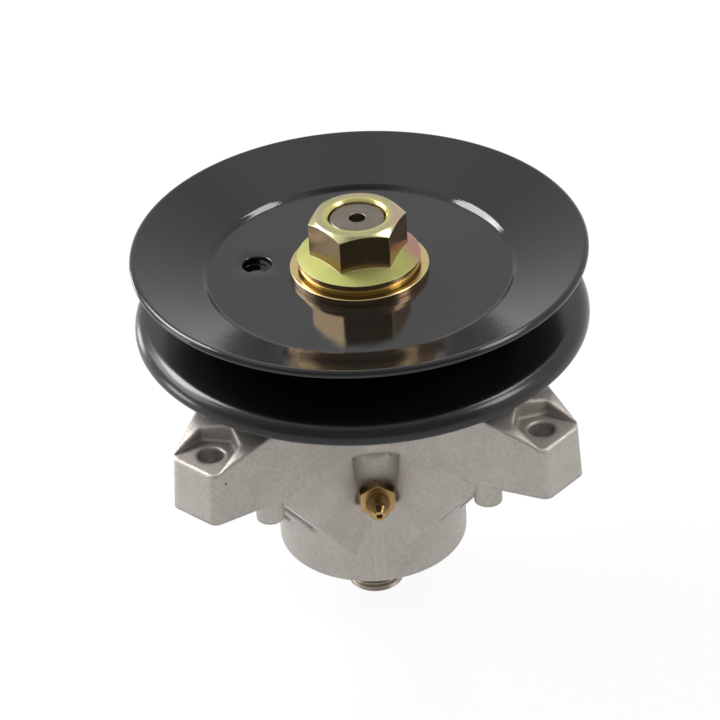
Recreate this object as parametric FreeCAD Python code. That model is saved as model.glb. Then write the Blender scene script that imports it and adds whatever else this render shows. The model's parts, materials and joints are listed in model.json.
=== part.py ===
import FreeCAD, Part
import math
import os

# Mower deck spindle: a die-cast housing with four bolting ears carries a shaft on two sealed ball
# bearings; a pressed two-piece V-belt pulley is clamped on the shaft's upper end by a flanged nut.
# Millimetres. Origin on the shaft axis in the plane of the ears' undersides, +Z up the shaft,
# grease fitting towards -Y, ears on the diagonals.

# Housing
HOUSING_TOP = 33.0          # flat top of the housing above the deck face
HUB_DEPTH = 45.5            # hub's lower end below the deck face
HUB_WALL = 7.0              # wall of the hub round the bearings
TOP_LAND = 4.5              # wall of the short boss round the upper bearing
SHOULDER = 2.2              # height of the bearing shoulders inside the hub
EAR_END = 8.5               # end of an ear beyond its bolt, at its foot
EAR_HEIGHT = 15.5           # bolting floor of an ear above the deck face
EAR_HALF_WIDTH = 7.8
ARM_RISE_DEG = 20.3         # slope of the housing's conical top
END_DRAFT_DEG = 4.4         # lean of an ear's end face
SIDE_DRAFT_DEG = 2.0        # lean of the arms' sides above the crease
SKIRT_DRAFT_DEG = 12.6      # lean of the skirts below the crease
CREASE = 4.0                # height of the crease between arm side and skirt
VALLEY_STAND = 6.0          # valley between two arms, out from the hub
VALLEY_ROUND = 9.0          # radius in the valleys between the arms
EAR_ROUND = 2.8             # radius on the ears' upright corners
KEEL_INSET = 11.2           # where an arm's flat foot ends, inwards of the bolt
KEEL_DEG = 50.9             # slope of the arms' undersides
FOOT_RUNOUT = 8.6           # length over which an arm's foot runs out into the skirt
RIB = 4.0                   # radial rib under each arm
POCKET_WIDTH = 7.6          # open pockets each side of a rib
POCKET_INSET = 6.3          # pockets' outer ends, inwards of the foot's end
ROOF = 5.2                  # metal over the pockets
BOLT_CIRCLE_D = 127.0
BOLT_HOLE_D = 7.4
SEAT_HALF_WIDTH = 7.0       # pointed seat sunk into each ear, open at its end
SEAT_POINT = 8.1            # seat's inner point, inwards of the bolt
SEAT_SHOULDER = 4.0         # seat's inner corners, inwards of the bolt
SEAT_FLARE = 0.6            # seat's side beyond the ear's side, at the open end
POST_D = 7.8                # ejector posts under the arms
POST_SPREAD = 9.9           # posts off the arm's centre line
POST_DROP = 7.0
RECESS_WIDTH = 13.0         # upright recess for the grease fitting
RECESS_STAND = 3.4          # recess floor out from the hub
RECESS_TOP = 5.0
RECESS_FLAT = 1.0           # flat between the recess's rounded inner corners
HUB_ROUND = 1.2             # radius on the hub's lower edge
PARTING_WIDTH = 2.6         # ridge left by the die's parting line on the hub
PARTING_STAND = 0.3

# Bearings
BEARING_BORE = 17.0
BEARING_OD = 40.0
BEARING_WIDTH = 12.0
BEARING_INSET = 1.0         # bearing face below the housing's end face
BALL_D = 6.747
BALL_COUNT = 8
RING_THICKNESS = 3.1
SEAL_THICKNESS = 1.2
SEAL_INSET = 0.15
CAGE_THICKNESS = 1.7
CAGE_RIM = 0.75             # cage metal beyond the balls

# Shaft
THREAD_D = 15.875
COLLAR_LENGTH = 3.0
BLADE_SEAT_LENGTH = 5.0
BLADE_SEAT_POINTS = 6
BLADE_SEAT_DEPTH = 1.8      # depth of the star's notches
BLADE_THREAD_LENGTH = 11.0
END_CHAMFER = 0.6
CENTRE_HOLE_D = 4.6
CENTRE_HOLE_DEPTH = 3.0
SHAFT_END_RECESS = 1.0      # shaft end below the nut's top
PULLEY_SPACER_LENGTH = 6.4
SPACER_WALL = 2.6
FLAT_LAND = 0.05            # shaft flats outside the thread

# Pulley
PULLEY_OD = 127.0
SHEET = 2.3
WEB_R = 42.6                # where the upper web turns up into its step
STEP_RISE = 1.1             # low step between the upper web and its flange
STEP_DEG = 34.0
STEP_FOOT_BEND_R = 2.6
STEP_TOP_BEND_R = 3.0
FLANGE_DEG = 20.5
GROOVE_R = 43.0             # belt groove's inner wall
GROOVE_DROP = 3.35          # foot of that wall below the middle of the lower web
GROOVE_TOP_BEND_R = 1.6
GROOVE_FOOT_BEND_R = 1.6
LOWER_FLANGE_DEG = 13.8
LIP_BEND_R = 3.4
LIP_TAIL = 0.25             # straight tail of the lower lip below its widest line
WEB_HOLE_D = 8.2
WEB_HOLE_CIRCLE_R = 29.0
WEB_HOLE_DEG = 167.0

# Washer and nut
WASHER_OD = 38.6
WASHER_THICKNESS = 2.0
WASHER_PLAY = 0.2
NUT_AF = 23.8
NUT_HEIGHT = 15.7
NUT_FLANGE_D = 34.2
NUT_FACE = 1.2              # bearing face below the flange's underside
NUT_FACE_INSET = 0.8        # bearing face inside the flange's edge
NUT_FLANGE_EDGE = 1.9
NUT_FLANGE_RISE_DEG = 24.0
NUT_CROWN_LAND = 0.5        # crown's edge inside the hexagon's flats
NUT_CHAMFER_DEG = 30.0
NUT_TURN_DEG = 5.6
NUT_MOUTH = 0.7

# Grease fitting
FITTING_DEPTH = 12.5        # its axis below the deck face
FITTING_AF = 9.525
FITTING_HEX = 3.4
FITTING_THREAD_D = 8.0
FITTING_REACH = 6.7         # tip beyond the hex
FITTING_SHOULDER_D = 6.8
FITTING_SHOULDER = 1.0
FITTING_NECK_D = 4.5
FITTING_NECK = 2.2          # taper from shoulder to neck
FITTING_HEAD_D = 5.4
FITTING_HEAD = 2.2          # head from its widest line to the tip
FITTING_TIP_D = 2.9
FITTING_BORE_D = 2.6
FITTING_MOUTH_D = 1.7
CHECK_BALL_D = 2.3
CHECK_BALL_INSET = 1.0      # ball's nose behind the tip
SPRING_WIRE = 0.35
SPRING_TURNS = 6

# Clearances
SNUG = 0.03                 # radial, between pieces that sit tight
RUN = 0.12                  # balls in their tracks and cage holes
LIP_GAP = 0.3               # seal lips off the turning rings

# Places worked out from the sizes
ARM_COUNT = 4
ARM_FIRST_DEG = 45.0
hub_r = BEARING_OD / 2 + HUB_WALL
top_boss_r = BEARING_OD / 2 + TOP_LAND
shoulder_r = BEARING_OD / 2 - SHOULDER
valley_r = hub_r + VALLEY_STAND
recess_floor = hub_r + RECESS_STAND
bolt_r = BOLT_CIRCLE_D / 2
arm_reach = bolt_r + EAR_END
keel_start = bolt_r - KEEL_INSET
upper_bearing_top = HOUSING_TOP - BEARING_INSET
upper_bearing_foot = upper_bearing_top - BEARING_WIDTH
lower_bearing_foot = BEARING_INSET - HUB_DEPTH
lower_bearing_top = lower_bearing_foot + BEARING_WIDTH
journal_r = BEARING_BORE / 2
thread_r = THREAD_D / 2
ball_r = BALL_D / 2
pitch_r = (BEARING_BORE + BEARING_OD) / 4
inner_ring_r = journal_r + RING_THICKNESS
outer_ring_r = BEARING_OD / 2 - RING_THICKNESS
lower_web = upper_bearing_top + PULLEY_SPACER_LENGTH
upper_web = lower_web + SHEET
washer_foot = upper_web + SHEET
nut_foot = washer_foot + WASHER_THICKNESS
nut_top = nut_foot + NUT_HEIGHT
shaft_top = nut_top - SHAFT_END_RECESS
collar_r = inner_ring_r - LIP_GAP
collar_foot = lower_bearing_foot - COLLAR_LENGTH
blade_seat_foot = collar_foot - BLADE_SEAT_LENGTH
shaft_foot = blade_seat_foot - BLADE_THREAD_LENGTH
flat_half = thread_r + FLAT_LAND
fitting_z = -FITTING_DEPTH
fitting_hex_front = recess_floor + FITTING_HEX
fitting_tip = fitting_hex_front + FITTING_REACH
fitting_corner = FITTING_AF / 2 / math.cos(math.pi / 6)
check_ball_centre = fitting_tip - CHECK_BALL_INSET - CHECK_BALL_D / 2

UP = FreeCAD.Vector(0, 0, 1)
ORIGIN = FreeCAD.Vector(0, 0, 0)


def tan(degrees):
    return math.tan(math.radians(degrees))


def turned(shape, degrees):
    """A copy of the shape turned about the shaft axis."""
    copy = shape.copy()
    copy.rotate(ORIGIN, UP, degrees)
    return copy


def round_copies(shape, count, first_deg=0.0):
    """Copies of the shape spaced evenly round the shaft axis."""
    return [turned(shape, first_deg + 360.0 * k / count) for k in range(count)]


def on_arms(shape):
    """Copies of a shape made on an arm along +X, one on each arm."""
    return round_copies(shape, ARM_COUNT, ARM_FIRST_DEG)


def cylinder(radius, low, high, x=0.0, y=0.0):
    return Part.makeCylinder(radius, high - low, FreeCAD.Vector(x, y, low), UP)


def tube(outer, inner, low, high):
    return cylinder(outer, low, high).cut(cylinder(inner, low, high))


def box(low, high):
    size = [b - a for a, b in zip(low, high)]
    return Part.makeBox(*size, FreeCAD.Vector(*low))


def polygon(points):
    corners = [FreeCAD.Vector(*p) for p in points]
    return Part.Face(Part.makePolygon(corners + corners[:1]))


def turning(points):
    """A solid of revolution about the shaft axis from (radius, height) corners."""
    return polygon([(r, 0, z) for r, z in points]).revolve(ORIGIN, UP, 360)


def frustum(low, high):
    """A solid between two level outlines with as many corners each, both anticlockwise from above."""
    faces = [polygon(low[::-1]), polygon(high)]
    for k in range(len(low)):
        m = (k + 1) % len(low)
        faces.append(polygon([low[k], low[m], high[m], high[k]]))
    return Part.makeSolid(Part.makeShell(faces))


def hexagon(across_flats, low, high, turn_deg=0.0):
    """An upright hexagonal bar with a corner at the given angle."""
    corner = across_flats / 2 / math.cos(math.pi / 6)
    angles = [math.radians(turn_deg + 60 * k) for k in range(6)]
    face = polygon([(corner * math.cos(a), corner * math.sin(a), low) for a in angles])
    return face.extrude(FreeCAD.Vector(0, 0, high - low))


def pressed_sheet(path, bends, thickness):
    """A pressed round sheet: a band of even thickness along a (radius, height) path whose corners
    are bent to the given middle radii, closed by a round outer edge and turned about the axis."""
    half = thickness / 2
    points = [FreeCAD.Vector(r, 0, z) for r, z in path]
    runs = [(b - a).normalize() for a, b in zip(points, points[1:])]
    normals = [FreeCAD.Vector(-d.z, 0, d.x) for d in runs]
    edges = []
    for side in (half, -half):
        here = points[0] + normals[0] * side
        for k, bend in enumerate(bends):
            into, out = runs[k], runs[k + 1]
            turn = math.atan2(into.x * out.z - into.z * out.x, into.dot(out))
            hand = math.copysign(1, turn)
            setback = bend * math.tan(abs(turn) / 2)
            centre = points[k + 1] - into * setback + normals[k] * (bend * hand)
            spoke = bend * hand - side
            start = centre - normals[k] * spoke
            middle = centre - (normals[k] + normals[k + 1]).normalize() * spoke
            end = centre - normals[k + 1] * spoke
            edges.append(Part.makeLine(here, start))
            edges.append(Part.Arc(start, middle, end).toShape())
            here = end
        edges.append(Part.makeLine(here, points[-1] + normals[-1] * side))
    tail = normals[-1] * half
    edges.append(Part.Arc(points[-1] + tail, points[-1] + runs[-1] * half, points[-1] - tail).toShape())
    edges.append(Part.makeLine(points[0] + normals[0] * half, points[0] - normals[0] * half))
    wire = Part.Wire(Part.__sortEdges__(edges))
    return Part.Face(wire).revolve(ORIGIN, UP, 360)


def star_outline(z, inset, end):
    """The four-armed outline at a height: arm ends joined by straight sides that meet in valleys,
    with the sides drawn in by the inset and the arms ending where told."""
    valley = valley_r / math.sqrt(2)
    along, across = valley - arm_reach, valley - EAR_HALF_WIDTH
    length = math.hypot(along, across)
    lean = (across / length, -along / length)
    level = lean[0] * arm_reach + lean[1] * EAR_HALF_WIDTH - inset
    half = (level - lean[0] * end) / lean[1]
    dip = level / (lean[0] + lean[1])
    points = []
    for k in range(ARM_COUNT):
        angle = math.radians(ARM_FIRST_DEG + 360.0 * k / ARM_COUNT)
        c, s = math.cos(angle), math.sin(angle)
        points += [(a * c - b * s, a * s + b * c, z) for a, b in ((end, -half), (end, half), (dip, dip))]
    return points


def upright_edges(block, low, high):
    """Edges that run up the block, with their middles between two distances from the axis."""
    upright = [e for e in block.Edges if abs(e.tangentAt(e.FirstParameter).z) > 0.5]
    return [e for e in upright if low < math.hypot(e.CenterOfMass.x, e.CenterOfMass.y) < high]


def top_height(radius):
    """Height of the conical top: it meets the bolting floor at the ears' end edge."""
    edge = arm_reach - EAR_HEIGHT * tan(END_DRAFT_DEG)
    return EAR_HEIGHT + (edge - radius) * tan(ARM_RISE_DEG)


def under_top(drop, low):
    """The space below the conical top, lowered by the drop."""
    edge = arm_reach + EAR_HEIGHT
    flat = (top_height(0) - HOUSING_TOP) / tan(ARM_RISE_DEG)
    return turning([(0, low), (edge, low), (edge, top_height(edge) - drop),
                    (flat, HOUSING_TOP - drop), (0, HOUSING_TOP - drop)])


def arms_and_skirts():
    """The star above the crease, the drafted skirts below it, and the arms' sloping undersides."""
    lean = tan(SIDE_DRAFT_DEG)
    high_end = arm_reach - HOUSING_TOP * tan(END_DRAFT_DEG)
    star = frustum(star_outline(0, -CREASE * lean, arm_reach),
                   star_outline(HOUSING_TOP, (HOUSING_TOP - CREASE) * lean, high_end))
    star = star.makeFillet(VALLEY_ROUND, upright_edges(star, 0, keel_start))
    star = star.makeFillet(EAR_ROUND, upright_edges(star, keel_start, 2 * arm_reach))
    star = star.common(under_top(0, -POST_DROP))
    star = star.cut(Part.makeCone(keel_start, keel_start - FOOT_RUNOUT, CREASE))
    skirt_foot = lower_bearing_foot + BEARING_WIDTH / 2
    inset = (CREASE - skirt_foot) * tan(SKIRT_DRAFT_DEG)
    skirt = frustum(star_outline(skirt_foot, inset, bolt_r), star_outline(CREASE, 0, bolt_r))
    skirt = skirt.makeFillet(VALLEY_ROUND, upright_edges(skirt, 0, keel_start))
    far = arm_reach * 2
    below = polygon([(keel_start, -far, 0), (far, -far, 0), (far, -far, -far),
                     (keel_start - far / tan(KEEL_DEG), -far, -far)])
    skirt = skirt.cut(on_arms(below.extrude(FreeCAD.Vector(0, 2 * far, 0))))
    posts = []
    for side in (-POST_SPREAD, POST_SPREAD):
        posts += on_arms(cylinder(POST_D / 2, -POST_DROP, 0, keel_start, side))
    return star.fuse([skirt] + posts)


def arm_pockets():
    """The pockets that open downwards each side of the rib under every arm, outside the hub."""
    slots = []
    for low in (RIB / 2, -RIB / 2 - POCKET_WIDTH):
        outer = keel_start - POCKET_INSET
        slots += on_arms(box((0, low, -HUB_DEPTH), (outer, low + POCKET_WIDTH, HOUSING_TOP)))
    roof = under_top(ROOF / math.cos(math.radians(ARM_RISE_DEG)), -HUB_DEPTH)
    return slots[0].fuse(slots[1:]).common(roof).cut(cylinder(hub_r, -HUB_DEPTH, HOUSING_TOP))


def ear_seat():
    """The seat above an ear's bolting floor: its point lies inwards and its end is open."""
    shoulder = bolt_r - SEAT_SHOULDER
    mouth = EAR_HALF_WIDTH + SEAT_FLARE
    outline = [(bolt_r - SEAT_POINT, 0), (shoulder, -SEAT_HALF_WIDTH), (arm_reach, -mouth),
               (arm_reach, mouth), (shoulder, SEAT_HALF_WIDTH)]
    face = polygon([(s, t, EAR_HEIGHT) for s, t in outline])
    return face.extrude(FreeCAD.Vector(0, 0, HOUSING_TOP))


def fitting_recess():
    """The upright recess in the front valley, with rounded inner corners and a rounded roof."""
    half = RECESS_WIDTH / 2
    recess = box((-half, -arm_reach, -HUB_DEPTH), (half, -recess_floor, RECESS_TOP))
    back = [e for e in recess.Edges if abs(e.BoundBox.YMin + recess_floor) < SNUG]
    inner = [e for e in back if e.BoundBox.ZMax > 0]
    return recess.makeFillet((RECESS_WIDTH - RECESS_FLAT) / 2, inner)


def laid_forward(shape):
    """Lays a piece made along +Z down, so that it points to -Y at the grease fitting's height."""
    shape.rotate(ORIGIN, FreeCAD.Vector(1, 0, 0), 90)
    shape.translate(FreeCAD.Vector(0, 0, fitting_z))
    return shape


def spindle_housing():
    """The casting: a star of four arms with skirts round a bored hub."""
    hub = cylinder(hub_r, -HUB_DEPTH, HOUSING_TOP - TOP_LAND)
    hub = hub.makeFillet(HUB_ROUND, [e for e in hub.Edges if e.BoundBox.ZMax < -HUB_DEPTH + SNUG])
    boss = cylinder(top_boss_r, 0, HOUSING_TOP)
    fitting_boss = laid_forward(cylinder(FITTING_AF / 2 - SNUG, shoulder_r, recess_floor))
    half = PARTING_WIDTH / 2
    ridge = box((-half, -hub_r - PARTING_STAND, HUB_ROUND - HUB_DEPTH), (half, -shoulder_r, 0))
    body = arms_and_skirts().fuse([hub, boss, fitting_boss] + round_copies(ridge, 2)).removeSplitter()
    body = body.cut(arm_pockets())
    body = body.cut(on_arms(ear_seat()))
    body = body.cut(on_arms(cylinder(BOLT_HOLE_D / 2, -POST_DROP, HOUSING_TOP, bolt_r)))
    body = body.cut(fitting_recess())
    bearing_r = BEARING_OD / 2 + SNUG
    return body.cut([
        laid_forward(cylinder(FITTING_THREAD_D / 2 + SNUG, 0, recess_floor)),
        laid_forward(cylinder(fitting_corner + LIP_GAP, recess_floor, fitting_hex_front)),
        cylinder(shoulder_r, -HUB_DEPTH, HOUSING_TOP),
        cylinder(bearing_r, upper_bearing_foot, HOUSING_TOP),
        cylinder(bearing_r, -HUB_DEPTH, lower_bearing_top)])


def bearing(foot):
    """A sealed deep-groove ball bearing with its lower face at the given height."""
    middle = foot + BEARING_WIDTH / 2
    top = foot + BEARING_WIDTH
    track = Part.makeTorus(pitch_r, ball_r + RUN, FreeCAD.Vector(0, 0, middle), UP)
    ball = Part.makeSphere(ball_r, FreeCAD.Vector(pitch_r, 0, middle))
    centre = FreeCAD.Vector(0, 0, middle)
    pocket = Part.makeCylinder(ball_r + RUN, BEARING_OD, centre, FreeCAD.Vector(1, 0, 0))
    reach = ball_r + CAGE_RIM
    half = CAGE_THICKNESS / 2
    cage = tube(pitch_r + half, pitch_r - half, middle - reach, middle + reach)
    seal_foot = foot + SEAL_INSET
    seal = tube(outer_ring_r - SNUG, inner_ring_r + LIP_GAP, seal_foot, seal_foot + SEAL_THICKNESS)
    top_seal = seal.copy()
    top_seal.translate(FreeCAD.Vector(0, 0, BEARING_WIDTH - SEAL_THICKNESS - 2 * SEAL_INSET))
    return {
        "outer_ring": tube(BEARING_OD / 2, outer_ring_r, foot, top).cut(track),
        "inner_ring": tube(inner_ring_r, journal_r + SNUG, foot, top).cut(track),
        "balls": Part.makeCompound(round_copies(ball, BALL_COUNT)),
        "cage": cage.cut(round_copies(pocket, BALL_COUNT)),
        "top_seal": top_seal,
        "bottom_seal": seal,
    }


def shaft_sleeve(low, high):
    """A plain spacer tube on the shaft's journal."""
    inner = journal_r + SNUG
    return tube(inner + SPACER_WALL, inner, low, high)


def spindle_shaft():
    """Collar, star-shaped blade seat and threaded stud below; journal, flats and thread above."""
    journal_top = washer_foot - SNUG
    core = turning([
        (0, shaft_foot), (thread_r - END_CHAMFER, shaft_foot), (thread_r, shaft_foot + END_CHAMFER),
        (thread_r, collar_foot), (collar_r, collar_foot), (collar_r, lower_bearing_foot),
        (journal_r, lower_bearing_foot), (journal_r, journal_top), (thread_r, journal_top),
        (thread_r, shaft_top - END_CHAMFER), (thread_r - END_CHAMFER, shaft_top), (0, shaft_top)])
    star = []
    for k in range(2 * BLADE_SEAT_POINTS):
        radius = collar_r - SNUG - BLADE_SEAT_DEPTH * (k % 2)
        angle = math.pi * k / BLADE_SEAT_POINTS
        star.append((radius * math.cos(angle), radius * math.sin(angle), blade_seat_foot))
    seat = polygon(star).extrude(FreeCAD.Vector(0, 0, BLADE_SEAT_LENGTH))
    flats_foot = lower_web - PULLEY_SPACER_LENGTH / 2
    flats = box((flat_half, -journal_r, flats_foot), (BEARING_BORE, journal_r, washer_foot))
    mouth_r = CENTRE_HOLE_D / 2
    centre = turning([(0, shaft_top - CENTRE_HOLE_DEPTH - mouth_r), (mouth_r, shaft_top - CENTRE_HOLE_DEPTH),
                      (mouth_r, shaft_top), (0, shaft_top)])
    return core.fuse(seat).removeSplitter().cut(round_copies(flats, 2) + [centre])


def pulley_holes(low, high):
    """The double-flat hole that the shaft's flats drive, and the round hole in the web."""
    half = flat_half + SNUG
    flats = box((-half, -BEARING_BORE, low), (half, BEARING_BORE, high))
    drive = cylinder(journal_r + SNUG, low, high).common(flats)
    web_hole = turned(cylinder(WEB_HOLE_D / 2, low, high, WEB_HOLE_CIRCLE_R), WEB_HOLE_DEG)
    return [drive, web_hole]


def pulley_upper_half():
    """The upper dish: a flat web, a low step and a plain cone that rises to a round edge."""
    middle = upper_web + SHEET / 2
    edge = (PULLEY_OD - SHEET) / 2
    step_r = WEB_R + STEP_RISE / tan(STEP_DEG)
    step_top = middle + STEP_RISE
    rim = step_top + (edge - step_r) * tan(FLANGE_DEG)
    path = [(thread_r / 2, middle), (WEB_R, middle), (step_r, step_top), (edge, rim)]
    dish = pressed_sheet(path, [STEP_FOOT_BEND_R, STEP_TOP_BEND_R], SHEET)
    return dish.cut(pulley_holes(lower_web, nut_foot))


def pulley_lower_half():
    """The lower dish: a flat web, the groove's wall, a cone that falls away and a curled lip."""
    middle = lower_web + SHEET / 2
    wall = GROOVE_R - SHEET / 2
    edge = (PULLEY_OD - SHEET) / 2
    groove_foot = middle - GROOVE_DROP
    corner = groove_foot - (edge - wall) * tan(LOWER_FLANGE_DEG)
    widest = corner - LIP_BEND_R * tan((90 - LOWER_FLANGE_DEG) / 2)
    path = [(thread_r / 2, middle), (wall, middle), (wall, groove_foot), (edge, corner),
            (edge, widest - LIP_TAIL)]
    bends = [GROOVE_TOP_BEND_R, GROOVE_FOOT_BEND_R, LIP_BEND_R]
    return pressed_sheet(path, bends, SHEET).cut(pulley_holes(lower_web - SHEET, washer_foot))


def pulley_nut():
    """A hexagon nut with a conical flange over a bearing face, a turned crown and a countersunk mouth."""
    wide = NUT_AF
    crown_r = NUT_AF / 2 - NUT_CROWN_LAND
    crown_foot = nut_top - (wide - crown_r) * tan(NUT_CHAMFER_DEG)
    crown = turning([(0, nut_foot), (wide, nut_foot), (wide, crown_foot), (crown_r, nut_top), (0, nut_top)])
    flange_r = NUT_FLANGE_D / 2
    throat_r = NUT_AF / 2 - NUT_FLANGE_EDGE
    face_r = flange_r - NUT_FACE_INSET
    under = nut_foot + NUT_FACE
    edge = under + NUT_FLANGE_EDGE
    throat = edge + (flange_r - throat_r) * tan(NUT_FLANGE_RISE_DEG)
    flange = turning([(0, nut_foot), (face_r, nut_foot), (face_r, under), (flange_r, under),
                      (flange_r, edge), (throat_r, throat), (0, throat)])
    bore_r = thread_r + SNUG
    mouth = turning([(0, nut_top - NUT_MOUTH), (bore_r, nut_top - NUT_MOUTH), (bore_r + NUT_MOUTH, nut_top),
                     (0, nut_top)])
    bar = hexagon(NUT_AF, nut_foot, nut_top, NUT_TURN_DEG).common(crown)
    return bar.fuse(flange).cut([cylinder(bore_r, nut_foot, nut_top), mouth])


def grease_fitting_body():
    """Thread, hexagon, tapered neck and grooved head, bored for the spring and the check ball."""
    thread, shoulder = FITTING_THREAD_D / 2, FITTING_SHOULDER_D / 2
    neck, head = FITTING_NECK_D / 2, FITTING_HEAD_D / 2
    neck_foot = fitting_hex_front + FITTING_SHOULDER + FITTING_NECK
    head_wide = fitting_tip - FITTING_HEAD
    turned_part = turning([
        (0, shoulder_r), (thread, shoulder_r), (thread, fitting_hex_front), (shoulder, fitting_hex_front),
        (shoulder, fitting_hex_front + FITTING_SHOULDER), (neck, neck_foot),
        (neck, head_wide - (head - neck)), (head, head_wide), (head, head_wide + (head - neck)),
        (FITTING_TIP_D / 2, fitting_tip), (0, fitting_tip)])
    body = turned_part.fuse(hexagon(FITTING_AF, recess_floor, fitting_hex_front, 90))
    bore = cylinder(FITTING_BORE_D / 2, shoulder_r, check_ball_centre)
    mouth = cylinder(FITTING_MOUTH_D / 2, shoulder_r, fitting_tip)
    seat = Part.makeSphere(FITTING_BORE_D / 2, FreeCAD.Vector(0, 0, check_ball_centre))
    return laid_forward(body.cut([bore, mouth, seat]))


def grease_fitting_ball():
    return laid_forward(Part.makeSphere(CHECK_BALL_D / 2, FreeCAD.Vector(0, 0, check_ball_centre)))


def grease_fitting_spring():
    """A coil spring in the fitting's bore, from inside the thread up to the check ball."""
    foot = recess_floor
    length = check_ball_centre - CHECK_BALL_D / 2 - SPRING_WIRE / 2 - RUN - foot
    radius = FITTING_BORE_D / 2 - SPRING_WIRE / 2 - RUN
    path = Part.Wire(Part.makeHelix(length / SPRING_TURNS, length, radius))
    start = FreeCAD.Vector(radius, 0, 0)
    section = Part.Wire(Part.makeCircle(SPRING_WIRE / 2, start, FreeCAD.Vector(0, 1, 0)))
    coil = path.makePipeShell([section], True, True)
    coil.translate(FreeCAD.Vector(0, 0, foot))
    return laid_forward(coil)


pieces = {
    "spindle_housing": spindle_housing(),
    "spindle_shaft": spindle_shaft(),
    "bearing_spacer": shaft_sleeve(lower_bearing_top, upper_bearing_foot),
    "pulley_spacer": shaft_sleeve(upper_bearing_top, lower_web),
    "pulley_lower_half": pulley_lower_half(),
    "pulley_upper_half": pulley_upper_half(),
    "pulley_washer": tube(WASHER_OD / 2, thread_r + WASHER_PLAY, washer_foot, nut_foot),
    "pulley_nut": pulley_nut(),
    "grease_fitting_body": grease_fitting_body(),
    "grease_fitting_ball": grease_fitting_ball(),
    "grease_fitting_spring": grease_fitting_spring(),
}
for place, foot in (("upper", upper_bearing_foot), ("lower", lower_bearing_foot)):
    for name, shape in bearing(foot).items():
        pieces[place + "_bearing_" + name] = shape

os.makedirs("parts", exist_ok=True)
for name, shape in pieces.items():
    shape.exportStep("parts/" + name + ".step")
    print(name, len(shape.Solids), round(shape.Volume, 1), shape.isValid())
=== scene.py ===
import json
import math

import bmesh
import bpy
import numpy as np
from mathutils import Matrix, Vector


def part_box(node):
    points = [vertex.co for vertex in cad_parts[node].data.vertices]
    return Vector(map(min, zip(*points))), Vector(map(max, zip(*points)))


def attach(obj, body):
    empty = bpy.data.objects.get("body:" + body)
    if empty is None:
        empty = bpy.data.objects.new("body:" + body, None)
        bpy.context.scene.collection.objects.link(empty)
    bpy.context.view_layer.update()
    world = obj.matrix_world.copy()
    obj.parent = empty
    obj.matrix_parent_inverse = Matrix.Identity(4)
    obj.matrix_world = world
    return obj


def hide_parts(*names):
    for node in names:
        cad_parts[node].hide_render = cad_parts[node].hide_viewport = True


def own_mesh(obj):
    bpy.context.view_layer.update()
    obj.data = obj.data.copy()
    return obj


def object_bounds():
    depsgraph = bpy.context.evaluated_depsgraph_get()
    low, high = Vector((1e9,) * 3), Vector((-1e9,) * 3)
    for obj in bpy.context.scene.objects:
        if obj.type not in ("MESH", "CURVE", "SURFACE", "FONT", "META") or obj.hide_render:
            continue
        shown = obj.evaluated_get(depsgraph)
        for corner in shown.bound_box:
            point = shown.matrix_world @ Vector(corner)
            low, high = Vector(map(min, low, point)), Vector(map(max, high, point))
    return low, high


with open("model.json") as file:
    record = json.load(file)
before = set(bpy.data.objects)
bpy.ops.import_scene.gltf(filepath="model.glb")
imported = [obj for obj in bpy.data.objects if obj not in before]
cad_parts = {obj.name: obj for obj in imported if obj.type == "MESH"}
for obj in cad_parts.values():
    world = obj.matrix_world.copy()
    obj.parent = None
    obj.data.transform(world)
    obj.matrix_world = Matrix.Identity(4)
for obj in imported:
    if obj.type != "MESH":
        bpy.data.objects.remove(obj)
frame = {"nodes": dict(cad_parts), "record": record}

CAD_BOX = [list(corner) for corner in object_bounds()]

bl_info = {
    "name": "Mower Deck Spindle",
    "version": (1, 0, 0),
    "blender": (4, 5, 0),
    "location": "3D View > Sidebar > Spindle",
    "description": "Finishes, threads and pressed pulley of a mower deck spindle",
    "category": "Object",
}

FULL_TURN = 2 * math.pi
NEAR_ZERO = 1e-6
MERGE = 1e-6                  # points closer than this become one
SLIVER = 1e-7                 # edges shorter than this are taken out
SHARP_EDGE = math.radians(32)
FIT = 0.00003                 # room between the shaft and what sits on it
EDGE_BREAK = 0.0001           # chamfers of the small holes
THREAD_RUNOUT = 0.0006        # relief at the inner end of each thread
THREAD_CREST, THREAD_FLANK = 0.14, 0.68  # shares of half a pitch
ROWS_PER_PITCH = 16
TOOTH_HALF = math.pi / 6      # half the angle of one tooth of the blade seat
END_RINGS, RIM_STEPS, ROUND_STEPS = 5, 11, 5
SHEET = 0.0023                # thickness of the pulley's pressed sheet
WEB_START = 0.009             # inner end of the dishes' middle lines
PLAIN_WEB_ROWS = (0.014, 0.018)
HOLE_ROWS, HOLE_COLUMNS = 13, 11

# Lamps: name, azimuth and elevation in degrees, distance, width and height in metres, radiance
LAMPS = (("key_left", -54, 44.5, 1.4, 0.68, 0.56, 14.0), ("fill_left", -69, 29, 1.4, 1.0, 0.62, 4.2),
         ("strip_left", -50, -6, 0.35, 0.07, 0.09, 6.0), ("strip_side", -88, -8, 0.33, 0.10, 0.07, 7.0),
         ("key_right", 107, 38, 1.4, 0.42, 0.49, 9.0), ("fill_right", 110, 12, 1.4, 0.98, 0.49, 0.6),
         ("high_right", 70, 58, 1.4, 0.52, 0.28, 11.0))
SKY_TINT, LAMP_TINT = (0.90, 0.96, 1.0), (1.0, 0.985, 0.96)
LAMP_TARGET = Vector((0, 0, 0.04))
CAMERA_AIM = Vector((-0.00108, 0.00594, 0.00887))
SENSOR_WIDTH = 36.0
FLOOR_REACH, FLOOR_GAP, FLOOR_GLOW = 3.0, 0.0002, 0.92

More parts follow.
